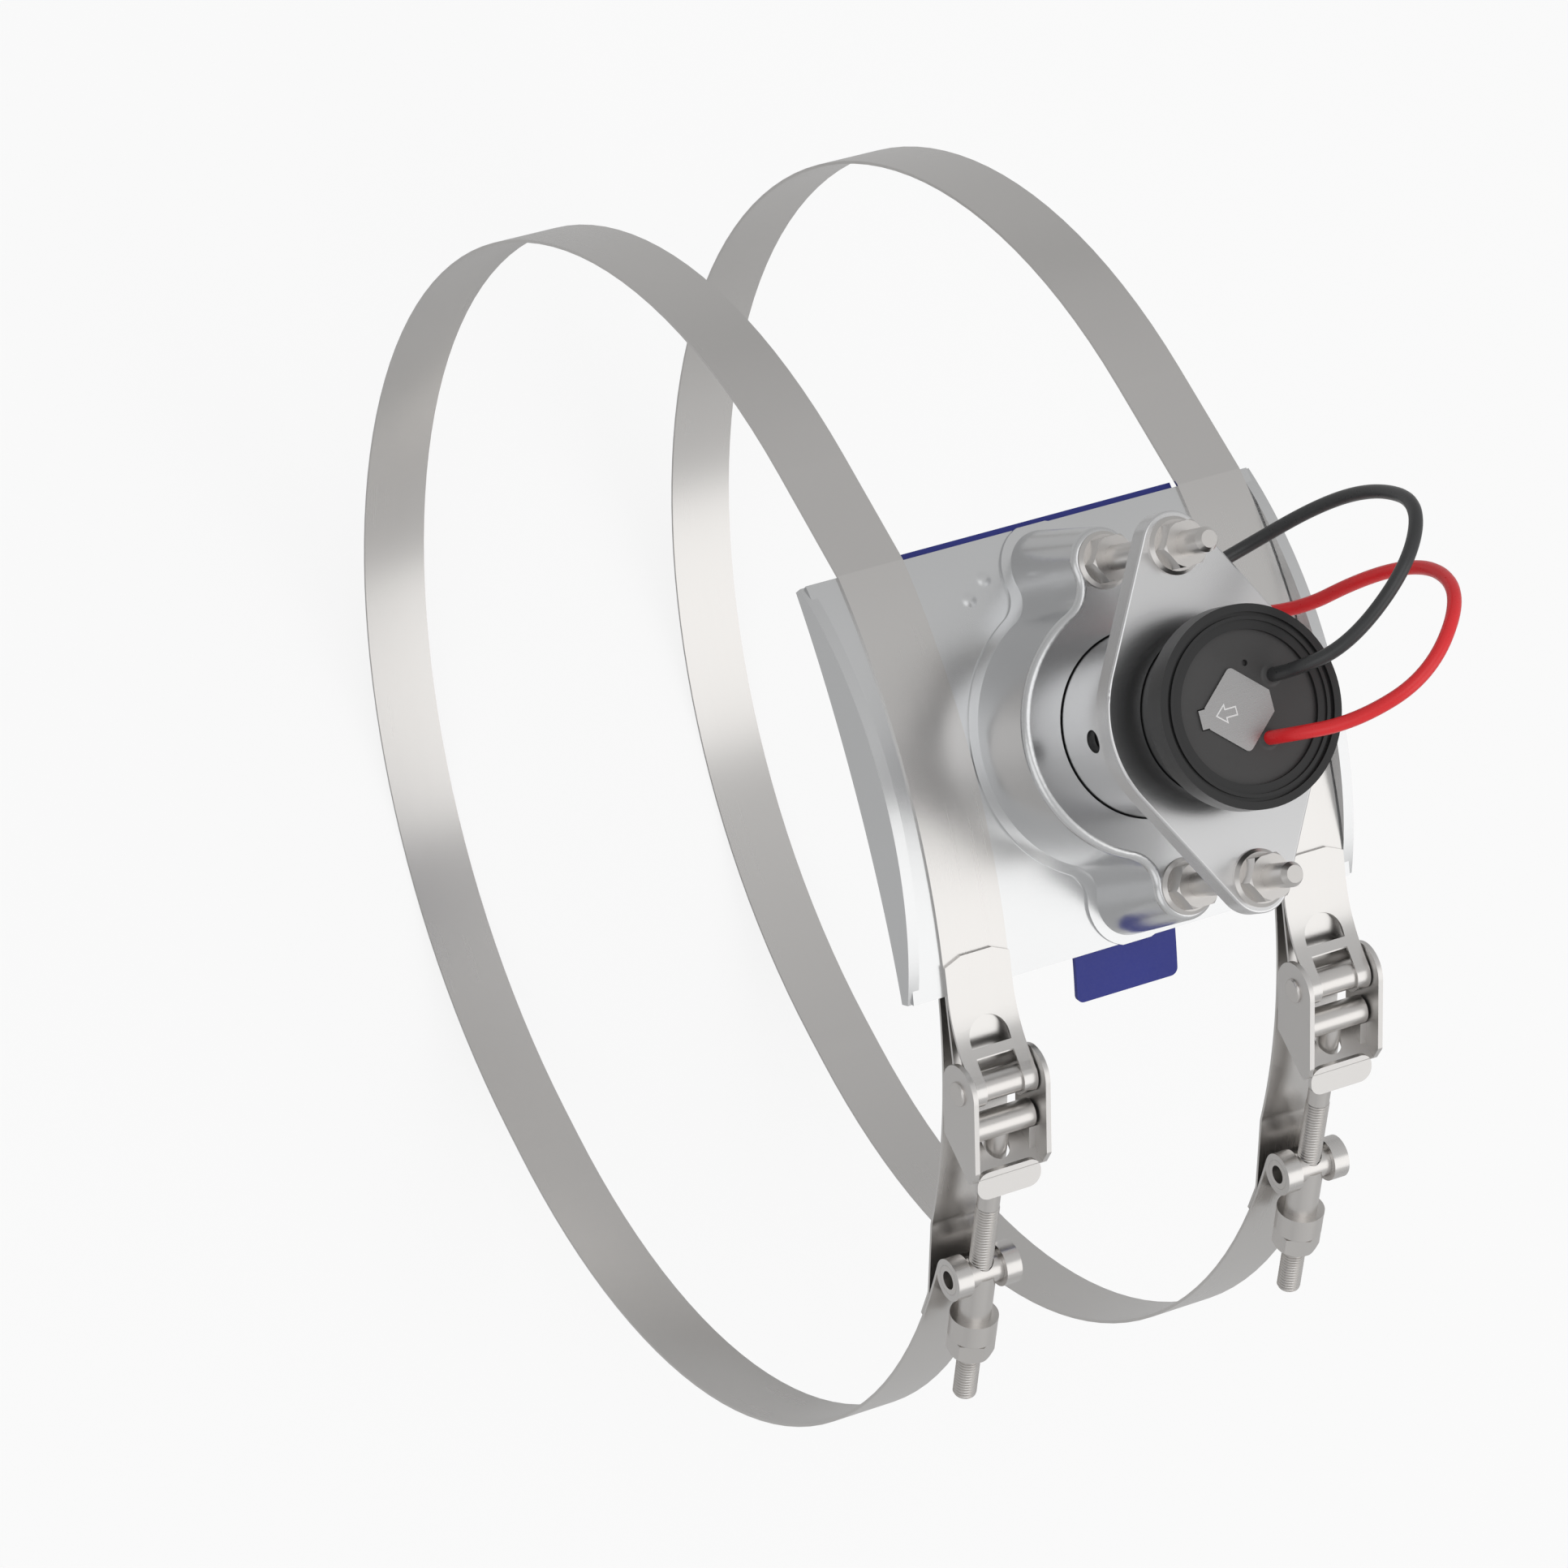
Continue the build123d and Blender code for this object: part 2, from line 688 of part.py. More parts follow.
def latch_side():
    """Outline of the side plates: round top, straight front and back, slanting foot, cut corner."""
    middle = (latch_front - latch_back) / 2
    radius = (latch_front + latch_back) / 2
    face = make_face([
        ThreePointArc((0, latch_front), (-radius, middle), (0, -latch_back)),
        Line((0, -latch_back), (latch_back_end, -latch_back)),
        Line((latch_back_end, -latch_back), (latch_foot_end, latch_foot_rise)),
        Line((latch_foot_end, latch_foot_rise), (latch_front_end, latch_front)),
        Line((latch_front_end, latch_front), (0, latch_front)),
    ])
    low = face.vertices().filter_by(lambda v: v.X > 1)
    return fillet(low, latch_corner_radius)


def make_latch():
    outer_half = latch_half + latch_plate
    side = latch_side()
    latch = extrude(side, amount=outer_half, both=True)
    foot = Vector(latch_foot_end - latch_back_end, latch_foot_rise + latch_back).normalized()
    inward = Vector(-foot.Y, foot.X) * latch_plate
    low = Vector(latch_back_end, -latch_back) + inward - foot * latch_back
    high = low + foot * 5 * latch_back
    clear = make_face(Polyline(
        low, high, (-3 * latch_back, high.Y), (-3 * latch_back, low.Y), close=True))
    latch -= extrude(clear, amount=latch_half, both=True)
    # stops that hold the bolt's head, round about the pin so that the latch swings past it
    stop = side & Pos(latch_foot_end / 2 + head_reach / 2, 0) * Rectangle(
        latch_foot_end, 2 * latch_stop_reach)
    stop -= Circle(head_reach + fit_clearance / 3)
    for end in (1, -1):
        centre = end * (latch_half - latch_stop_width / 2)
        latch += Pos(0, 0, centre) * extrude(stop, amount=latch_stop_width / 2, both=True)
    # finger tab from the end of the foot
    tab = Pos(latch_foot_end + latch_tab / 2 - latch_plate, 0) * RectangleRounded(
        latch_tab + 2 * latch_plate, 2 * latch_half - 1, latch_tab_corner)
    facing = Plane(origin=(0, latch_foot_rise + latch_plate / 2, 0), x_dir=(1, 0, 0), z_dir=(0, -1, 0))
    latch += extrude(facing * tab, latch_plate)
    # slot for the bolt, open to the axis
    slot_half = bolt_shank_radius + latch_slot_clearance
    slot_centre = latch_slot_end - slot_half
    slot = Pos(latch_back_end + latch_plate, slot_centre - latch_back, 0) * Box(
        latch_back_end, 2 * latch_back, 2 * slot_half)
    slot += Pos(latch_back_end + latch_plate, slot_centre, 0) * Rot(0, 90, 0) * Cylinder(
        slot_half, latch_back_end)
    latch -= slot
    latch -= Cylinder(pin_radius, 4 * latch_half)
    return latch_frame * latch


def make_latch_pin():
    half = latch_half + latch_plate
    pin = Cylinder(pin_radius, 2 * half)
    for end in (1, -1):
        head = Pos(0, 0, end * (half + pin_head_height / 2)) * Cylinder(
            pin_head_radius, pin_head_height)
        rim = head.edges().filter_by(GeomType.CIRCLE).sort_by(Axis.Z)[-1 if end == 1 else 0]
        pin += fillet(rim, 0.8 * pin_head_height)
    return latch_frame * pin


def make_pin_sleeve():
    return latch_frame * (
        Cylinder(sleeve_radius, band_width) - Cylinder(pin_radius + loop_clearance, band_width))


# Bolt, trunnion, washer and nut

def bolt_post(radius, start, end):
    """Cylinder along the bolt line."""
    return Pos((start + end) / 2, 0, 0) * Rot(0, 90, 0) * Cylinder(radius, end - start)


def make_bolt():
    """Bolt with a round cross head, a plain shank and a thicker rolled thread."""
    thread = bolt_post(bolt_radius, thread_start, bolt_end)
    thread = chamfer(thread.edges().filter_by(GeomType.CIRCLE), bolt_tip_chamfer)
    shank = bolt_post(bolt_shank_radius, head_place, thread_start + bolt_tip_chamfer)
    head = Cylinder(head_radius, 2 * (latch_half - head_end_gap))
    head = chamfer(head.edges().filter_by(GeomType.CIRCLE), 0.4)
    return bolt_frame * (Pos(head_place, 0, 0) * head + shank + thread)


def make_trunnion():
    """Hollow cross barrel with a sleeve for the bolt."""
    trunnion = Cylinder(trunnion_radius, band_width)
    trunnion -= Cylinder(trunnion_bore, band_width)
    sleeve = bolt_post(trunnion_sleeve_radius, 0, trunnion_sleeve_length)
    trunnion += sleeve
    trunnion -= bolt_post(
        bolt_radius + bolt_clearance, -2 * trunnion_radius, trunnion_sleeve_length)
    return trunnion_frame * trunnion


def make_washer():
    start = trunnion_place + trunnion_sleeve_length
    washer = bolt_post(washer_radius, start, start + washer_thickness)
    washer -= bolt_post(bolt_radius + bolt_clearance, start, start + washer_thickness)
    return bolt_frame * washer


def make_nut():
    """Nut with a round collar towards the washer and a tapered hexagon."""
    start = trunnion_place + trunnion_sleeve_length + washer_thickness
    collar = bolt_post(collar_nut_radius, start, start + collar_nut_height)
    collar = chamfer(collar.edges().filter_by(GeomType.CIRCLE).sort_by(Axis.X)[-1], 0.6)
    hexagon_start = start + collar_nut_height
    hexagon_plane = Plane(origin=(hexagon_start, 0, 0), x_dir=(0, 1, 0), z_dir=(1, 0, 0))
    hexagon = extrude(
        hexagon_plane * RegularPolygon(nut_across_flats / 2, 6, major_radius=False), hex_height)
    corner_radius = nut_across_flats / 2 / cos(radians(30))
    turned = bolt_post(corner_radius, start, hexagon_start + hex_height)
    turned = chamfer(turned.edges().filter_by(GeomType.CIRCLE).sort_by(Axis.X)[-1], 1.2)
    nut = collar + (hexagon & turned)
    nut -= bolt_post(bolt_radius + nut_clearance, start, hexagon_start + hex_height)
    return bolt_frame * nut


parts = {
    "saddle": make_saddle(),
    "gasket": make_gasket(),
    "spacer_collar": make_collar(),
    "flange_plate": make_flange(),
    "sensor_body": make_sensor_body(),
    "potting_disc": make_potting(),
    "tag_plate": make_tag(),
    "circuit_board": make_board(),
    "upper_o_ring": make_o_ring(ring_heights[0]),
    "lower_o_ring": make_o_ring(ring_heights[1]),
    "upstream_transducer": transducer_form(0),
    "downstream_transducer": transducer_form(180),
    "black_lead": make_lead("black"),
    "red_lead": make_lead("red"),
}
for side_name, side in (("upper", 1), ("lower", -1)):
    parts[side_name + "_stud"] = make_stud(side)
    parts[side_name + "_saddle_nut"] = make_flange_nut(side, boss_top)
    parts[side_name + "_flange_nut"] = make_flange_nut(side, flange_top)
clamp_parts = {
    "band": make_band(),
    "tongue": make_tongue(),
    "latch": make_latch(),
    "latch_pin": make_latch_pin(),
    "pin_sleeve": make_pin_sleeve(),
    "t_bolt": make_bolt(),
    "trunnion": make_trunnion(),
    "washer": make_washer(),
    "clamp_nut": make_nut(),
}
for clamp, place in clamp_places.items():
    for name, shape in clamp_parts.items():
        parts[clamp + "_" + name] = Pos(place, 0, 0) * shape

for name, shape in parts.items():
    export_step(shape, "parts/" + name + ".step")
    print(name, round(shape.volume, 1), "solids", len(shape.solids()), "valid", shape.is_valid)
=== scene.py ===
import json
import math

import bmesh
import bpy
import numpy as np
from mathutils import Matrix, Vector

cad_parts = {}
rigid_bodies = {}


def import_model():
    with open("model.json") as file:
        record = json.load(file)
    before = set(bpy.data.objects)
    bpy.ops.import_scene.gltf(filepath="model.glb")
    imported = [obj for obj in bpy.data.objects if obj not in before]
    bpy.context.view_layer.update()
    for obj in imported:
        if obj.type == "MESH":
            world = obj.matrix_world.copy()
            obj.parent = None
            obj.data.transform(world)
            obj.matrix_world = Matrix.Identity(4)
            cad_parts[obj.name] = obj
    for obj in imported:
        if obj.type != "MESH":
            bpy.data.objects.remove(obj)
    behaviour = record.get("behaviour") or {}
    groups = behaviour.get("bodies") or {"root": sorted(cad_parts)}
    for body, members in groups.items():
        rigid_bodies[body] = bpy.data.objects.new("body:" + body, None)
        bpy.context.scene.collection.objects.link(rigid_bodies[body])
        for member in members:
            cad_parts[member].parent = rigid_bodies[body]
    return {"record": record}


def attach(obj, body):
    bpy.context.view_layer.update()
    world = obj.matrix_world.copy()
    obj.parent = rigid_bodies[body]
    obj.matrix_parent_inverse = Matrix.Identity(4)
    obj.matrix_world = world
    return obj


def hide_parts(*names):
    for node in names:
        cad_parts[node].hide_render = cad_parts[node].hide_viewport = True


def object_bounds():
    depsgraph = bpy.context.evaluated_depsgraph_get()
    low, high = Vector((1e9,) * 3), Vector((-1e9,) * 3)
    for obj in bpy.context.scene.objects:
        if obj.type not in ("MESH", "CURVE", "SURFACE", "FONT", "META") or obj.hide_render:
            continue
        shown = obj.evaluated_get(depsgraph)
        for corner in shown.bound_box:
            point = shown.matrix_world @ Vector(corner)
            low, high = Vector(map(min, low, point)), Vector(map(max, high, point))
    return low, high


# Insertion flow sensor in its saddle, with the two band clamps that hold it down.
# Metres. The saddle's length runs along X and the sensor stands up along Z.

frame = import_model()
cadLow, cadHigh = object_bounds()
print("frame loaded")

# the photograph's own camera
cameraLook = {
    "place": (-0.8659, 0.0941, 1.7773),
    "aim": (-0.0105, 0.0, 0.0),
    "up": (0.25898, 0.96511, 0.03857),
    "lens": 165.0,
    "sensor": 36.0,
    "clip": (0.05, 50.0),
}


def setCamera(look):
    place = Vector(look["place"])
    ahead = (Vector(look["aim"]) - place).normalized()
    side = ahead.cross(Vector(look["up"])).normalized()
    up = side.cross(ahead)
    data = bpy.data.cameras.new("camera")
    data.lens = look["lens"]
    data.sensor_width = look["sensor"]
    data.clip_start, data.clip_end = look["clip"]
    camera = bpy.data.objects.new("camera", data)
    bpy.context.scene.collection.objects.link(camera)
    turn = Matrix((side, up, -ahead)).transposed().to_4x4()
    camera.matrix_world = Matrix.Translation(place) @ turn
    bpy.context.scene.camera = camera


setCamera(cameraLook)

# wide soft boxes: place, size across, brightness of the box itself, colour
lampLook = {
    "front": ((1.15, -1.40, 1.95), 2.6, 0.71, (1.0, 0.995, 0.985)),
    "over": ((-0.5, 0.5, 3.0), 2.4, 0.70, (0.985, 0.99, 1.0)),
    "side": ((-2.3, -0.6, 1.3), 2.0, 0.50, (0.98, 0.99, 1.0)),
}


def setLamps(look):
    for name, (place, size, bright, colour) in look.items():
        data = bpy.data.lights.new(name, "AREA")
        data.shape = "DISK"
        data.size = size
        data.energy = bright * math.pi ** 2 * (size / 2) ** 2  # watts for that brightness
        data.color = colour
        lamp = bpy.data.objects.new(name, data)
        bpy.context.scene.collection.objects.link(lamp)
        lamp.location = place
        lamp.rotation_mode = "QUATERNION"
        lamp.rotation_quaternion = (-Vector(place)).to_track_quat("-Z", "Y")


setLamps(lampLook)

worldLook = {
    "seen": (1.0, 1.0, 1.0),
    "bright": (0.43, -0.52, 0.74),  # towards the front box
    "levels": ((0.0, 0.45), (0.35, 0.51), (0.6, 0.58), (0.8, 0.62), (1.0, 0.66)),
}


def setWorld(look):
    # plain studio that pales from grey behind the object to near white in front of it
    world = bpy.data.worlds.new("studio")
    bpy.context.scene.world = world
    world.use_nodes = True
    nodes, links = world.node_tree.nodes, world.node_tree.links
    nodes.clear()
    out = nodes.new("ShaderNodeOutputWorld")
    mix = nodes.new("ShaderNodeMixShader")
    seen = nodes.new("ShaderNodeBackground")
    seen.inputs["Color"].default_value = (*look["seen"], 1)
    light = nodes.new("ShaderNodeBackground")
    place = nodes.new("ShaderNodeTexCoord")
    facing = nodes.new("ShaderNodeVectorMath")
    facing.operation = "DOT_PRODUCT"
    facing.inputs[1].default_value = look["bright"]
    links.new(place.outputs["Generated"], facing.inputs[0])
    share = nodes.new("ShaderNodeMapRange")
    share.inputs["From Min"].default_value = -1
    links.new(facing.outputs["Value"], share.inputs["Value"])
    ramp = nodes.new("ShaderNodeValToRGB")
    steps = ramp.color_ramp.elements
    while len(steps) < len(look["levels"]):
        steps.new(0.5)
    for step, (position, level) in zip(steps, look["levels"]):
        step.position = position
        step.color = (level, level, level, 1)
    links.new(share.outputs[0], ramp.inputs["Fac"])
    links.new(ramp.outputs["Color"], light.inputs["Color"])
    path = nodes.new("ShaderNodeLightPath")
    either = nodes.new("ShaderNodeMath")
    either.operation = "MAXIMUM"
    links.new(path.outputs["Is Camera Ray"], either.inputs[0])
    links.new(path.outputs["Is Transmission Ray"], either.inputs[1])
    links.new(either.outputs[0], mix.inputs["Fac"])
    links.new(light.outputs[0], mix.inputs[1])
    links.new(seen.outputs[0], mix.inputs[2])
    links.new(mix.outputs[0], out.inputs["Surface"])


setWorld(worldLook)
print("camera and lights set")


class Finish:  # one node material that reads Object coordinates
    def __init__(self, name):
        self.material = bpy.data.materials.new(name)
        self.material.use_nodes = True
        self.tree = self.material.node_tree
        self.tree.nodes.clear()
        self.shader = self.add("ShaderNodeBsdfPrincipled")
        self.out = self.add("ShaderNodeOutputMaterial")
        self.link(self.shader.outputs[0], self.out.inputs["Surface"])
        self.place = self.add("ShaderNodeTexCoord").outputs["Object"]

    def add(self, kind, **values):
        node = self.tree.nodes.new(kind)
        for key, value in values.items():
            setattr(node, key, value)
        return node

    def link(self, source, target):
        self.tree.links.new(source, target)

    def stretched(self, scale):
        node = self.add("ShaderNodeMapping")
        node.inputs["Scale"].default_value = scale
        self.link(self.place, node.inputs["Vector"])
        return node.outputs[0]

    def noise(self, scale, detail, rough, source=None):
        node = self.add("ShaderNodeTexNoise")
        node.inputs["Scale"].default_value = scale
        node.inputs["Detail"].default_value = detail
        node.inputs["Roughness"].default_value = rough
        self.link(source or self.place, node.inputs["Vector"])
        return node.outputs["Fac"]

    def ramp(self, source, low, high, start=0.3, end=0.7):
        node = self.add("ShaderNodeMapRange")
        node.inputs["From Min"].default_value = start
        node.inputs["From Max"].default_value = end
        node.inputs["To Min"].default_value = low
        node.inputs["To Max"].default_value = high
        self.link(source, node.inputs["Value"])
        return node.outputs[0]

    def colours(self, source, low, high, start=0.3, end=0.7):
        node = self.add("ShaderNodeValToRGB")
        ends = node.color_ramp.elements
        ends[0].position, ends[1].position = start, end
        ends[0].color, ends[1].color = (*low, 1), (*high, 1)
        self.link(source, node.inputs["Fac"])
        return node.outputs[0]

    def total(self, first, second):
        node = self.add("ShaderNodeMath", operation="ADD")
        self.link(first, node.inputs[0])
        self.link(second, node.inputs[1])
        return node.outputs[0]

    def bump(self, height, distance):
        node = self.add("ShaderNodeBump")
        node.inputs["Distance"].default_value = distance
        self.link(height, node.inputs["Height"])
        return node.outputs[0]


steelLook = {
    "detail": 2.0,
    "soft": 0.5,
    "cloudScale": 18.0,
    "cloudRange": (0.3, 0.75),
    "cloudGloss": (0.97, 1.04),
    "haze": 0.03,
}


def brushedSteel(name, colour, rough, grain, depth, streak=0.012):
    # bare steel: fine lines along one direction in gloss and height,
    # with a soft cloud in colour and gloss
    look = steelLook
    made = Finish(name)
    lines = made.noise(1.0, look["detail"], look["soft"], made.stretched(grain))
    cloud = made.noise(look["cloudScale"], look["detail"], look["soft"])
    low = tuple(c * (1 - look["haze"]) for c in colour)
    tone = made.colours(cloud, low, colour, *look["cloudRange"])
    made.link(tone, made.shader.inputs["Base Color"])
    cloudGloss = made.ramp(cloud, *(rough * share for share in look["cloudGloss"]))
    gloss = made.total(made.ramp(lines, -streak, streak), cloudGloss)
    made.link(gloss, made.shader.inputs["Roughness"])
    made.link(made.bump(lines, depth), made.shader.inputs["Normal"])
    made.shader.inputs["Metallic"].default_value = 1.0
    return made.material


plasticLook = {
    "detail": 3.0,
    "fineRough": 0.6,
    "wideScale": 55.0,
    "wideRough": 0.5,
    "wideRange": (0.35, 0.8),
    "fineGloss": (0.88, 1.12),
}


def mouldedPlastic(name, colour, rough, grain, depth, worn=1.25):
    # moulded or turned plastic and rubber: fine grain in gloss and height, slight change of colour
    look = plasticLook
    made = Finish(name)
    fine = made.noise(1.0, look["detail"], look["fineRough"], made.stretched(grain))
    wide = made.noise(look["wideScale"], look["detail"], look["wideRough"])
    high = tuple(min(1.0, c * worn) for c in colour)
    tone = made.colours(wide, colour, high, *look["wideRange"])
    made.link(tone, made.shader.inputs["Base Color"])
    fineGloss = made.ramp(fine, *(rough * share for share in look["fineGloss"]))
    made.link(fineGloss, made.shader.inputs["Roughness"])
    made.link(made.bump(fine, depth), made.shader.inputs["Normal"])
    return made.material


# material slot: name, colour, roughness, grain along X, Y and Z, depth of the grain,
# then the steel's streak or the plastic's wear
steels = {
    "saddle_steel": ("satinSheet", (0.70, 0.705, 0.71), 0.25, (150, 3000, 3000), 1.2e-7),
    "band_steel": ("brushedStrip", (0.68, 0.665, 0.65), 0.26, (2600, 14, 14), 2e-7, 0.01),
    "latch_steel": ("pressedLatch", (0.69, 0.675, 0.66), 0.36, (2500, 2500, 2500), 1.2e-7),
    "fastener_steel": ("brightFastener", (0.69, 0.67, 0.65), 0.29, (2500, 2500, 2500), 1.2e-7),
    "flange_steel": ("cutPlate", (0.72, 0.72, 0.725), 0.25, (150, 3000, 3000), 1.2e-7),
    "tag_metal": ("tagPlate", (0.42, 0.415, 0.415), 0.28, (90, 2600, 900), 7e-7, 0.03),
    "arrow": ("etchedArrow", (0.80, 0.80, 0.80), 0.40, (900, 900, 900), 4e-7),
}
plastics = {
    "body_plastic": ("turnedBlackPlastic", (0.0125, 0.0125, 0.013), 0.33, (30, 30, 2600), 3e-6),
    "potting": ("pottingResin", (0.045, 0.044, 0.044), 0.42, (700, 700, 700), 6e-6),
    "gasket_rubber": ("blueRubber", (0.013, 0.022, 0.23), 0.5, (1400, 1400, 1400), 6e-6, 1.1),
    "ring_rubber": ("ringRubber", (0.012, 0.012, 0.012), 0.45, (1400, 1400, 1400), 4e-6),
    "board": ("boardLacquer", (0.02, 0.12, 0.05), 0.35, (900, 900, 900), 5e-6),
    "transducer_ceramic": ("firedCeramic", (0.6, 0.54, 0.42), 0.55, (900, 900, 900), 5e-6),
    "black_insulation": ("blackInsulation", (0.036, 0.037, 0.038), 0.30, (900, 900, 900), 4e-6),
    "red_insulation": ("redInsulation", (0.80, 0.024, 0.030), 0.30, (900, 900, 900), 4e-6, 1.1),
}
finishes = {slot: brushedSteel(*look) for slot, look in steels.items()}
finishes.update((slot, mouldedPlastic(*look)) for slot, look in plastics.items())
for entry in frame["record"]["subparts"]:
    node = bpy.data.objects[entry["node"]]
    for slot in node.material_slots:
        slot.material = finishes[entry["material_slot"]]
print("materials made")

# the routes are the same points, in millimetres, as the plain leads have
leadLook = {
    "radius": 0.0018,
    "stepsRound": 6,
    "stepsAlong": 12,
    "black": {
        "length": 0.154,
        "route": [
            (8.6, 6.0, 240.2), (8.6, 6.0, 252.0), (19.5, 9.0, 264.5), (36.0, 24.0, 273.0),
            (48.0, 38.0, 266.0), (49.5, 43.5, 246.0), (45.0, 43.0, 225.0), (30.0, 36.0, 204.0),
            (11.0, 31.5, 203.0)],
    },
    "red": {
        "length": 0.154,
        "route": [
            (3.5, -8.7, 240.2), (3.5, -8.7, 251.0), (16.0, -9.5, 264.0), (33.0, -3.0, 275.0),
            (49.0, 13.0, 272.0), (55.0, 22.0, 254.0), (50.0, 23.0, 232.0), (36.0, 17.0, 208.0),
            (24.0, 22.0, 200.0)],
    },
}


def makeLead(name, look):
    own, radius = look[name], look["radius"]
    route = [tuple(c / 1000 for c in point) for point in own["route"]]
    curve = bpy.data.curves.new(name + "Lead", "CURVE")
    curve.dimensions = "3D"
    curve.bevel_depth = radius
    curve.bevel_resolution = look["stepsRound"]
    curve.resolution_u = look["stepsAlong"]
    curve.use_fill_caps = True
    spline = curve.splines.new("NURBS")
    spline.points.add(len(route) - 1)
    for point, place in zip(spline.points, route):
        point.co = (*place, 1)
    spline.order_u = 3
    spline.use_endpoint_u = True
    lead = bpy.data.objects.new(name + "Lead", curve)
    bpy.context.scene.collection.objects.link(lead)
    curve.materials.append(finishes[name + "_insulation"])
    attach(lead, "sensor_mount")
    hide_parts(name + "_lead")


for leadName in ("black", "red"):
    makeLead(leadName, leadLook)
print("leads made")


def gridFaces(rows, columns, closed=True):
    # quads between neighbouring rows and columns; on a closed ring the last column meets the first
    row = np.arange(rows - 1)[:, None] * columns
    column = np.arange(columns if closed else columns - 1)[None, :]
    after = (column + 1) % columns
    corners = [row + column, row + after, row + columns + after, row + columns + column]
    return np.stack(corners, axis=-1).reshape(-1, 4)


def roundSurface(along, radius, origin, direction, turn):
    # point = origin + along * direction + radius * (cos turn * sideA + sin turn * sideB)
    direction = np.asarray(direction, float)
    sideA = np.array([0.0, 1.0, 0.0]) if abs(direction[0]) > 0.9 else np.array([1.0, 0.0, 0.0])
    sideB = np.cross(direction, sideA)
    ring = np.cos(turn)[:, None] * sideA + np.sin(turn)[:, None] * sideB
    along, radius = np.broadcast_arrays(along, radius)
    points = np.asarray(origin) + along[..., None] * direction + radius[..., None] * ring
    return points.reshape(-1, 3)


def turnedSurface(along, radius, origin, direction, columns=48):
    # profile of places along a line and radii, turned once round it
    turn = np.linspace(0, 2 * np.pi, columns, endpoint=False)
    wide = np.zeros(columns)
    places = np.asarray(along, float)[:, None] + wide
    radii = np.asarray(radius, float)[:, None] + wide
    return roundSurface(places, radii, origin, direction, turn), gridFaces(len(along), columns)


mergeDistance = 1e-7


def makePiece(name, surfaces, body, material, sharp=38):
    # one mesh of several closed surfaces: doubles merged, faces turned outwards,
    # edges over the angle kept sharp
    points = np.concatenate([surface[0] for surface in surfaces])
    starts = np.cumsum([0] + [len(surface[0]) for surface in surfaces[:-1]])
    faces = np.concatenate([surface[1] + start for surface, start in zip(surfaces, starts)])
    mesh = bpy.data.meshes.new(name)
    mesh.from_pydata(points, [], faces)
    work = bmesh.new()
    work.from_mesh(mesh)
    bmesh.ops.remove_doubles(work, verts=work.verts, dist=mergeDistance)
    bmesh.ops.dissolve_degenerate(work, edges=work.edges, dist=mergeDistance)
    bmesh.ops.recalc_face_normals(work, faces=work.faces)
    work.to_mesh(mesh)
    work.free()
    mesh.polygons.foreach_set("use_smooth", [True] * len(mesh.polygons))
    mesh.set_sharp_from_angle(angle=math.radians(sharp))
    mesh.materials.append(material)
    piece = bpy.data.objects.new(name, mesh)
    bpy.context.scene.collection.objects.link(piece)
    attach(piece, body)
    return piece


# the two swing bolts with their rolled thread; places run along the bolt from the line's middle
boltLook = {
    "places": {"left": -0.0474, "right": 0.0541},
    "angle": 39.2,
    "line": 0.1722,
    "headPlace": -0.0248,
    "headRadius": 0.00375,
    "headHalf": 0.009425,
    "headChamfer": 0.0004,
    "shankRadius": 0.0030,
    "threadRadius": 0.003175,
    "threadStart": 0.0036,
    "threadEnd": 0.0687,
    "pitch": 0.000907,
    "depth": 0.00050,
    "crest": 0.14,  # share of the pitch that is flat on top
    "flank": 0.62,
    "tip": 0.0008,
    "columns": 36,
    "rowsPerTurn": 12,
}


def threadSurface(look, origin, direction):
    # a point lies pitch * (v + u) along the bolt for u round it and v along it;
    # its radius is the thread's less a flat-topped wave of v, cut to the shank at one end
    # and to a cone at the other
    start, end, pitch = look["threadStart"], look["threadEnd"], look["pitch"]
    rows = int((end - start) / pitch + 2) * look["rowsPerTurn"]
    v = start / pitch - 1 + np.arange(rows + 1) / look["rowsPerTurn"]
    u = np.linspace(0, 1, look["columns"] + 1)
    along = pitch * (v[:, None] + u)
    wave = np.abs((v + 0.5) % 1.0 - 0.5) * 2
    groove = np.clip((wave - look["crest"]) / look["flank"], 0, 1) * look["depth"]
    shankCone = look["shankRadius"] + np.maximum(along - start, 0)
    tipCone = look["threadRadius"] - look["tip"] + np.maximum(end - along, 0)
    radius = np.minimum(np.minimum(look["threadRadius"] - groove[:, None], shankCone), tipCone)
    along = np.clip(along, start, end)
    shut = np.zeros((1, len(u)))
    along = np.concatenate([shut + start, along, shut + end])
    radius = np.concatenate([shut, radius, shut])
    points = roundSurface(along, radius, origin, direction, 2 * np.pi * u)
    return points, gridFaces(rows + 3, len(u), closed=False)


def makeSwingBolt(side, look):
    angle = math.radians(look["angle"])
    direction = np.array([0.0, -math.cos(angle), -math.sin(angle)])
    outward = np.array([0.0, -math.sin(angle), math.cos(angle)])
    origin = outward * look["line"] + np.array([look["places"][side], 0, 0])
    shank = turnedSurface(
        [look["headPlace"], look["headPlace"], look["threadStart"], look["threadStart"]],
        [0, look["shankRadius"], look["shankRadius"], 0], origin, direction)
    half, chamfer, radius = look["headHalf"], look["headChamfer"], look["headRadius"]
    head = turnedSurface(
        [-half, -half, chamfer - half, half - chamfer, half, half],
        [0, radius - chamfer, radius, radius, radius - chamfer, 0],
        origin + direction * look["headPlace"], (1, 0, 0))
    surfaces = [threadSurface(look, origin, direction), shank, head]
    bolt = makePiece(
        side + "ThreadedBolt", surfaces, side + "_swing_bolt",
        finishes["fastener_steel"])
    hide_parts(side + "_t_bolt")


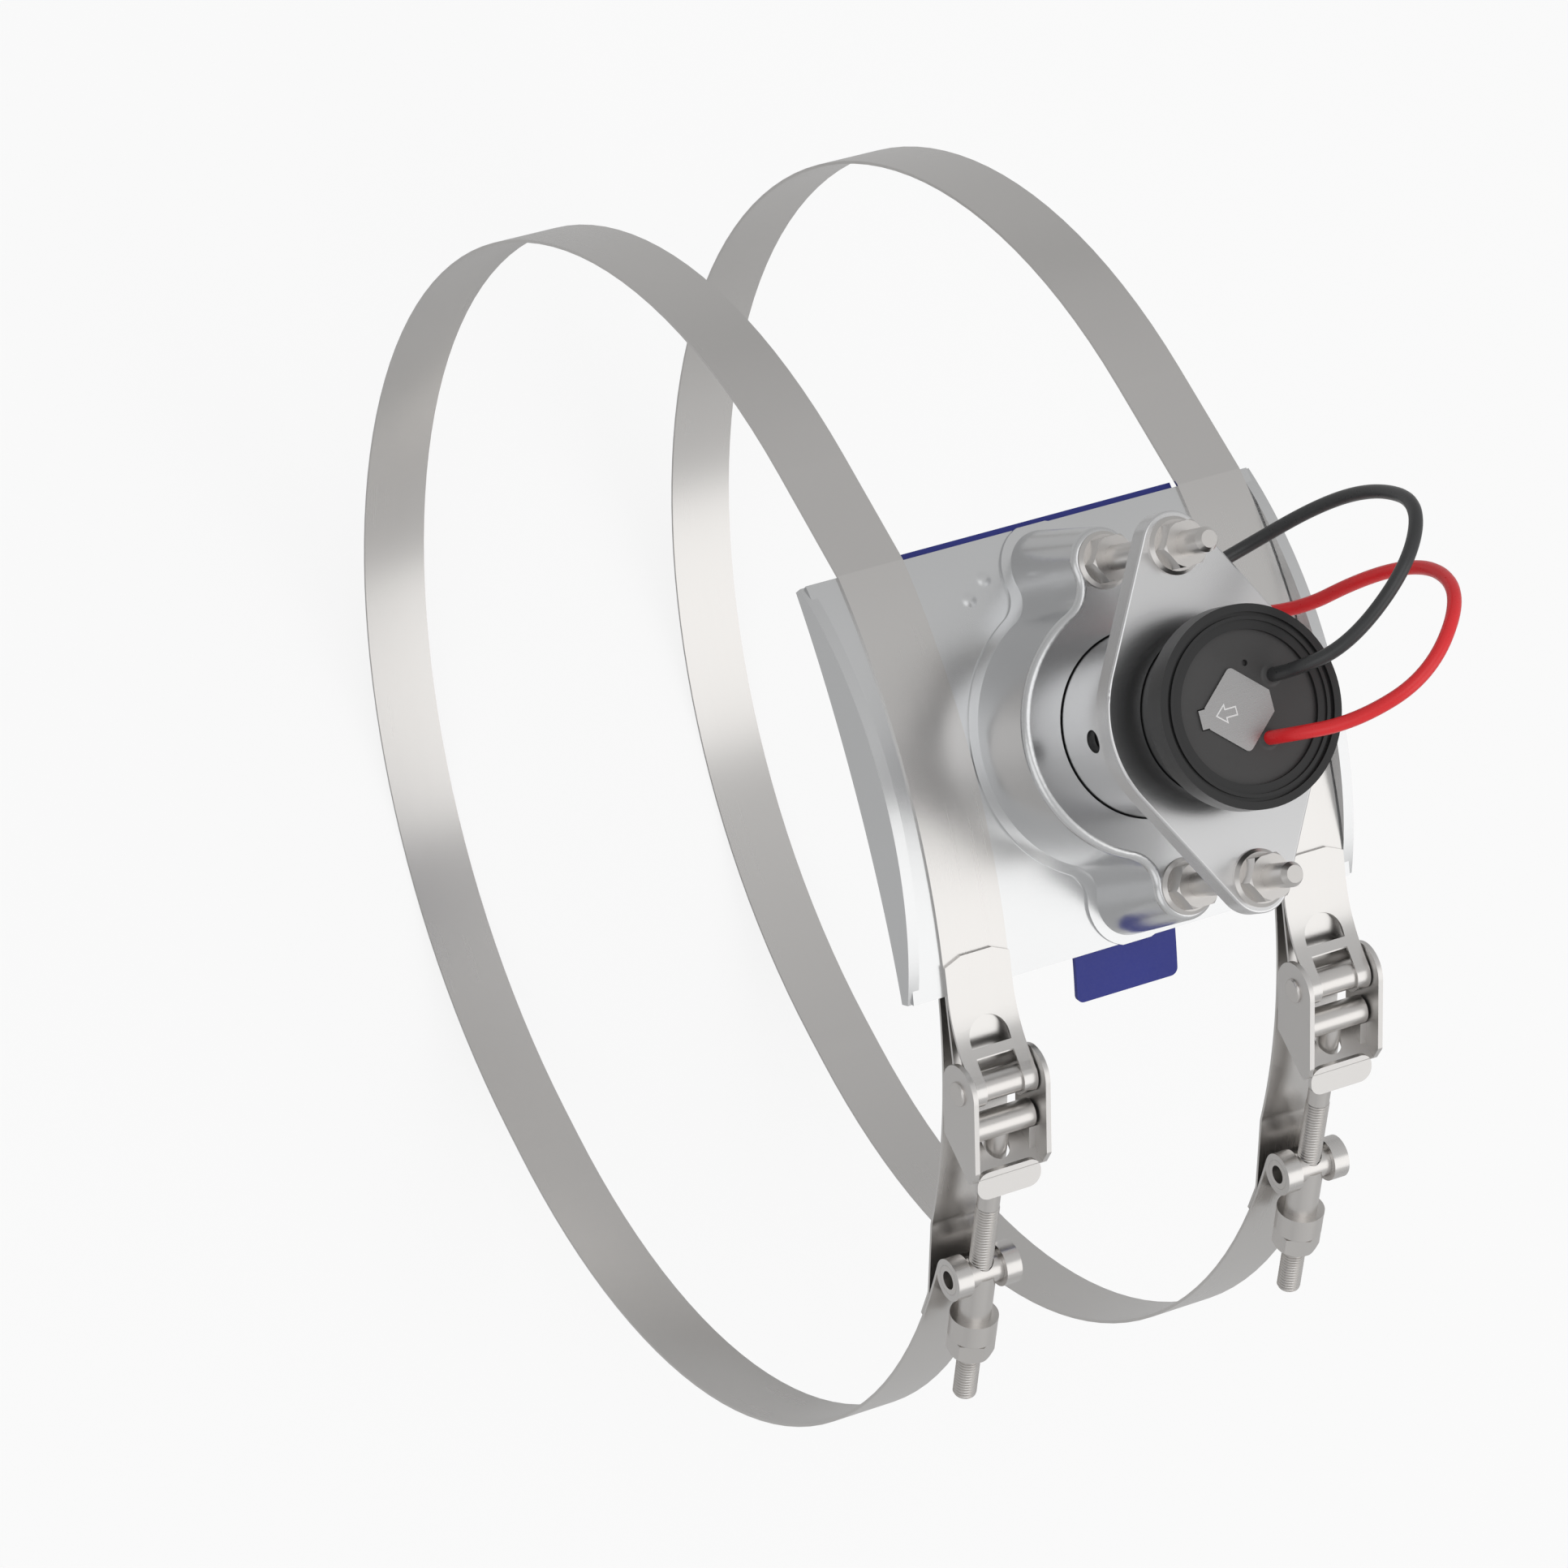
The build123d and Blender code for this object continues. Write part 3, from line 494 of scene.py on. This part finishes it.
for clampSide in boltLook["places"]:
    makeSwingBolt(clampSide, boltLook)
print("swing bolts made")

# resin that climbs a little up each lead
resinLook = {
    "top": 0.2427,
    "leads": ((0.0086, 0.0060), (0.0035, -0.0087)),
    "leadRadius": 0.0018,
    "overlap": 0.0001,
    "reach": 0.0014,
    "rise": 0.0007,
    "root": 0.0003,
    "steps": 9,
}


def makeResinCollars(look):
    # height over the resin = rise * (1 - share) squared, for a share of the reach from the lead
    share = np.linspace(0, 1, look["steps"])
    inner = look["leadRadius"] - look["overlap"]
    radius = inner + look["reach"] * share
    height = look["rise"] * (1 - share) ** 2
    along = np.concatenate([[-look["root"]], height, [-look["root"]], [-look["root"]]])
    across = np.concatenate([[inner], radius, [radius[-1]], [inner]])
    surfaces = [
        turnedSurface(along, across, (x, y, look["top"]), (0, 0, 1)) for x, y in look["leads"]]
    makePiece("resinCollars", surfaces, "sensor_mount", finishes["potting"])


makeResinCollars(resinLook)

arrowLook = {
    "top": 0.2433,
    "middle": (-0.0066, 0.0),
    "length": 0.0062,
    "width": 0.0052,
    "stem": 0.0024,
    "line": 0.00035,
    "proud": 0.00006,
    "root": 0.0001,
    "sharp": 20,
}


def makeFlowArrow(look):
    # outline of an arrow towards -X: its corners, and the same corners moved in by the line's width
    # along each corner's bisector; the loops of both, low and high, are joined by quads
    length, width, stem = look["length"], look["width"], look["stem"]
    outer = np.array([
        (-length / 2, 0), (0, width / 2), (0, stem / 2), (length / 2, stem / 2),
        (length / 2, -stem / 2), (0, -stem / 2), (0, -width / 2)])
    ahead = np.roll(outer, -1, axis=0) - outer
    ahead = ahead / np.linalg.norm(ahead, axis=1)[:, None]
    normal = np.stack([ahead[:, 1], -ahead[:, 0]], axis=1)
    bisector = normal + np.roll(normal, 1, axis=0)
    bisector = bisector / (bisector * normal).sum(axis=1)[:, None]
    inner = outer + bisector * look["line"]
    low, high = look["top"] - look["root"], look["top"] + look["proud"]
    loops = [
        np.column_stack([loop + np.array(look["middle"]), np.full(len(loop), height)])
        for loop, height in (
            (outer, low), (outer, high), (inner, high), (inner, low), (outer, low))]
    surface = (np.concatenate(loops), gridFaces(len(loops), len(outer)))
    makePiece(
        "flowArrow", [surface], "sensor_mount", finishes["arrow"], look["sharp"])


makeFlowArrow(arrowLook)

# two shallow weld spots on the saddle's sheet: place along X, and degrees round from the top
spotLook = {
    "sheet": 0.165425,
    "spots": ((-0.0183, 15.7), (-0.0243, 14.2)),
    "radius": 0.0024,
    "rise": 0.00028,
    "root": 0.0001,
    "rings": 12,
    "columns": 36,
    "sharp": 60,
}


def makeWeldSpots(look):
    # low domes bent to the sheet: height = rise * (1 - share squared) squared,
    # closed by a second skin in the sheet
    share = np.concatenate([np.linspace(0, 1, look["rings"]), [1, 0]])[:, None]
    turn = np.linspace(0, 2 * np.pi, look["columns"], endpoint=False)
    height = look["rise"] * (1 - share ** 2) ** 2
    height[-2:] = -look["root"]
    surfaces = []
    for x, degreesRound in look["spots"]:
        along = x + look["radius"] * share * np.cos(turn)
        around = math.radians(degreesRound) + look["radius"] * share * np.sin(turn) / look["sheet"]
        level = look["sheet"] + height
        points = np.stack([along, level * np.sin(around), level * np.cos(around)], axis=-1)
        surfaces.append((points.reshape(-1, 3), gridFaces(len(share), len(turn))))
    makePiece(
        "weldSpots", surfaces, "sensor_mount", finishes["saddle_steel"],
        look["sharp"])


makeWeldSpots(spotLook)
print("small details made")

floorLook = {
    "half": 6.0,
    "gap": 0.0002,
    "colour": (0.90, 0.90, 0.90),
    "reflected": (0.60, 0.60, 0.60),
    "white": 0.84,
    "whiteInMetal": 0.10,
    "rough": 0.75,
}


def makeFloor(look):
    # pale floor just under the object, white to the camera with the object's soft shadow on it
    low = cadLow[2] - look["gap"]
    half = look["half"]
    mesh = bpy.data.meshes.new("floor")
    corners = [(-half, -half, low), (half, -half, low), (half, half, low), (-half, half, low)]
    mesh.from_pydata(corners, [], [(0, 1, 2, 3)])
    floor = bpy.data.objects.new("floor", mesh)
    bpy.context.scene.collection.objects.link(floor)
    made = Finish("paleFloor")
    made.shader.inputs["Roughness"].default_value = look["rough"]
    path = made.add("ShaderNodeLightPath")
    made.link(
        made.colours(path.outputs["Is Camera Ray"], look["reflected"], look["colour"], 0, 1),
        made.shader.inputs["Base Color"])
    glow = made.add("ShaderNodeEmission")
    mix = made.add("ShaderNodeMixShader")
    seen = made.ramp(path.outputs["Is Camera Ray"], 0, look["white"], 0, 1)
    inMetal = made.ramp(path.outputs["Is Glossy Ray"], 0, look["whiteInMetal"], 0, 1)
    made.link(made.total(seen, inMetal), mix.inputs["Fac"])
    made.link(made.shader.outputs[0], mix.inputs[1])
    made.link(glow.outputs[0], mix.inputs[2])
    made.link(mix.outputs[0], made.out.inputs["Surface"])
    mesh.materials.append(made.material)


makeFloor(floorLook)

bpy.context.scene.view_settings.view_transform = "Standard"
print("scene ready")
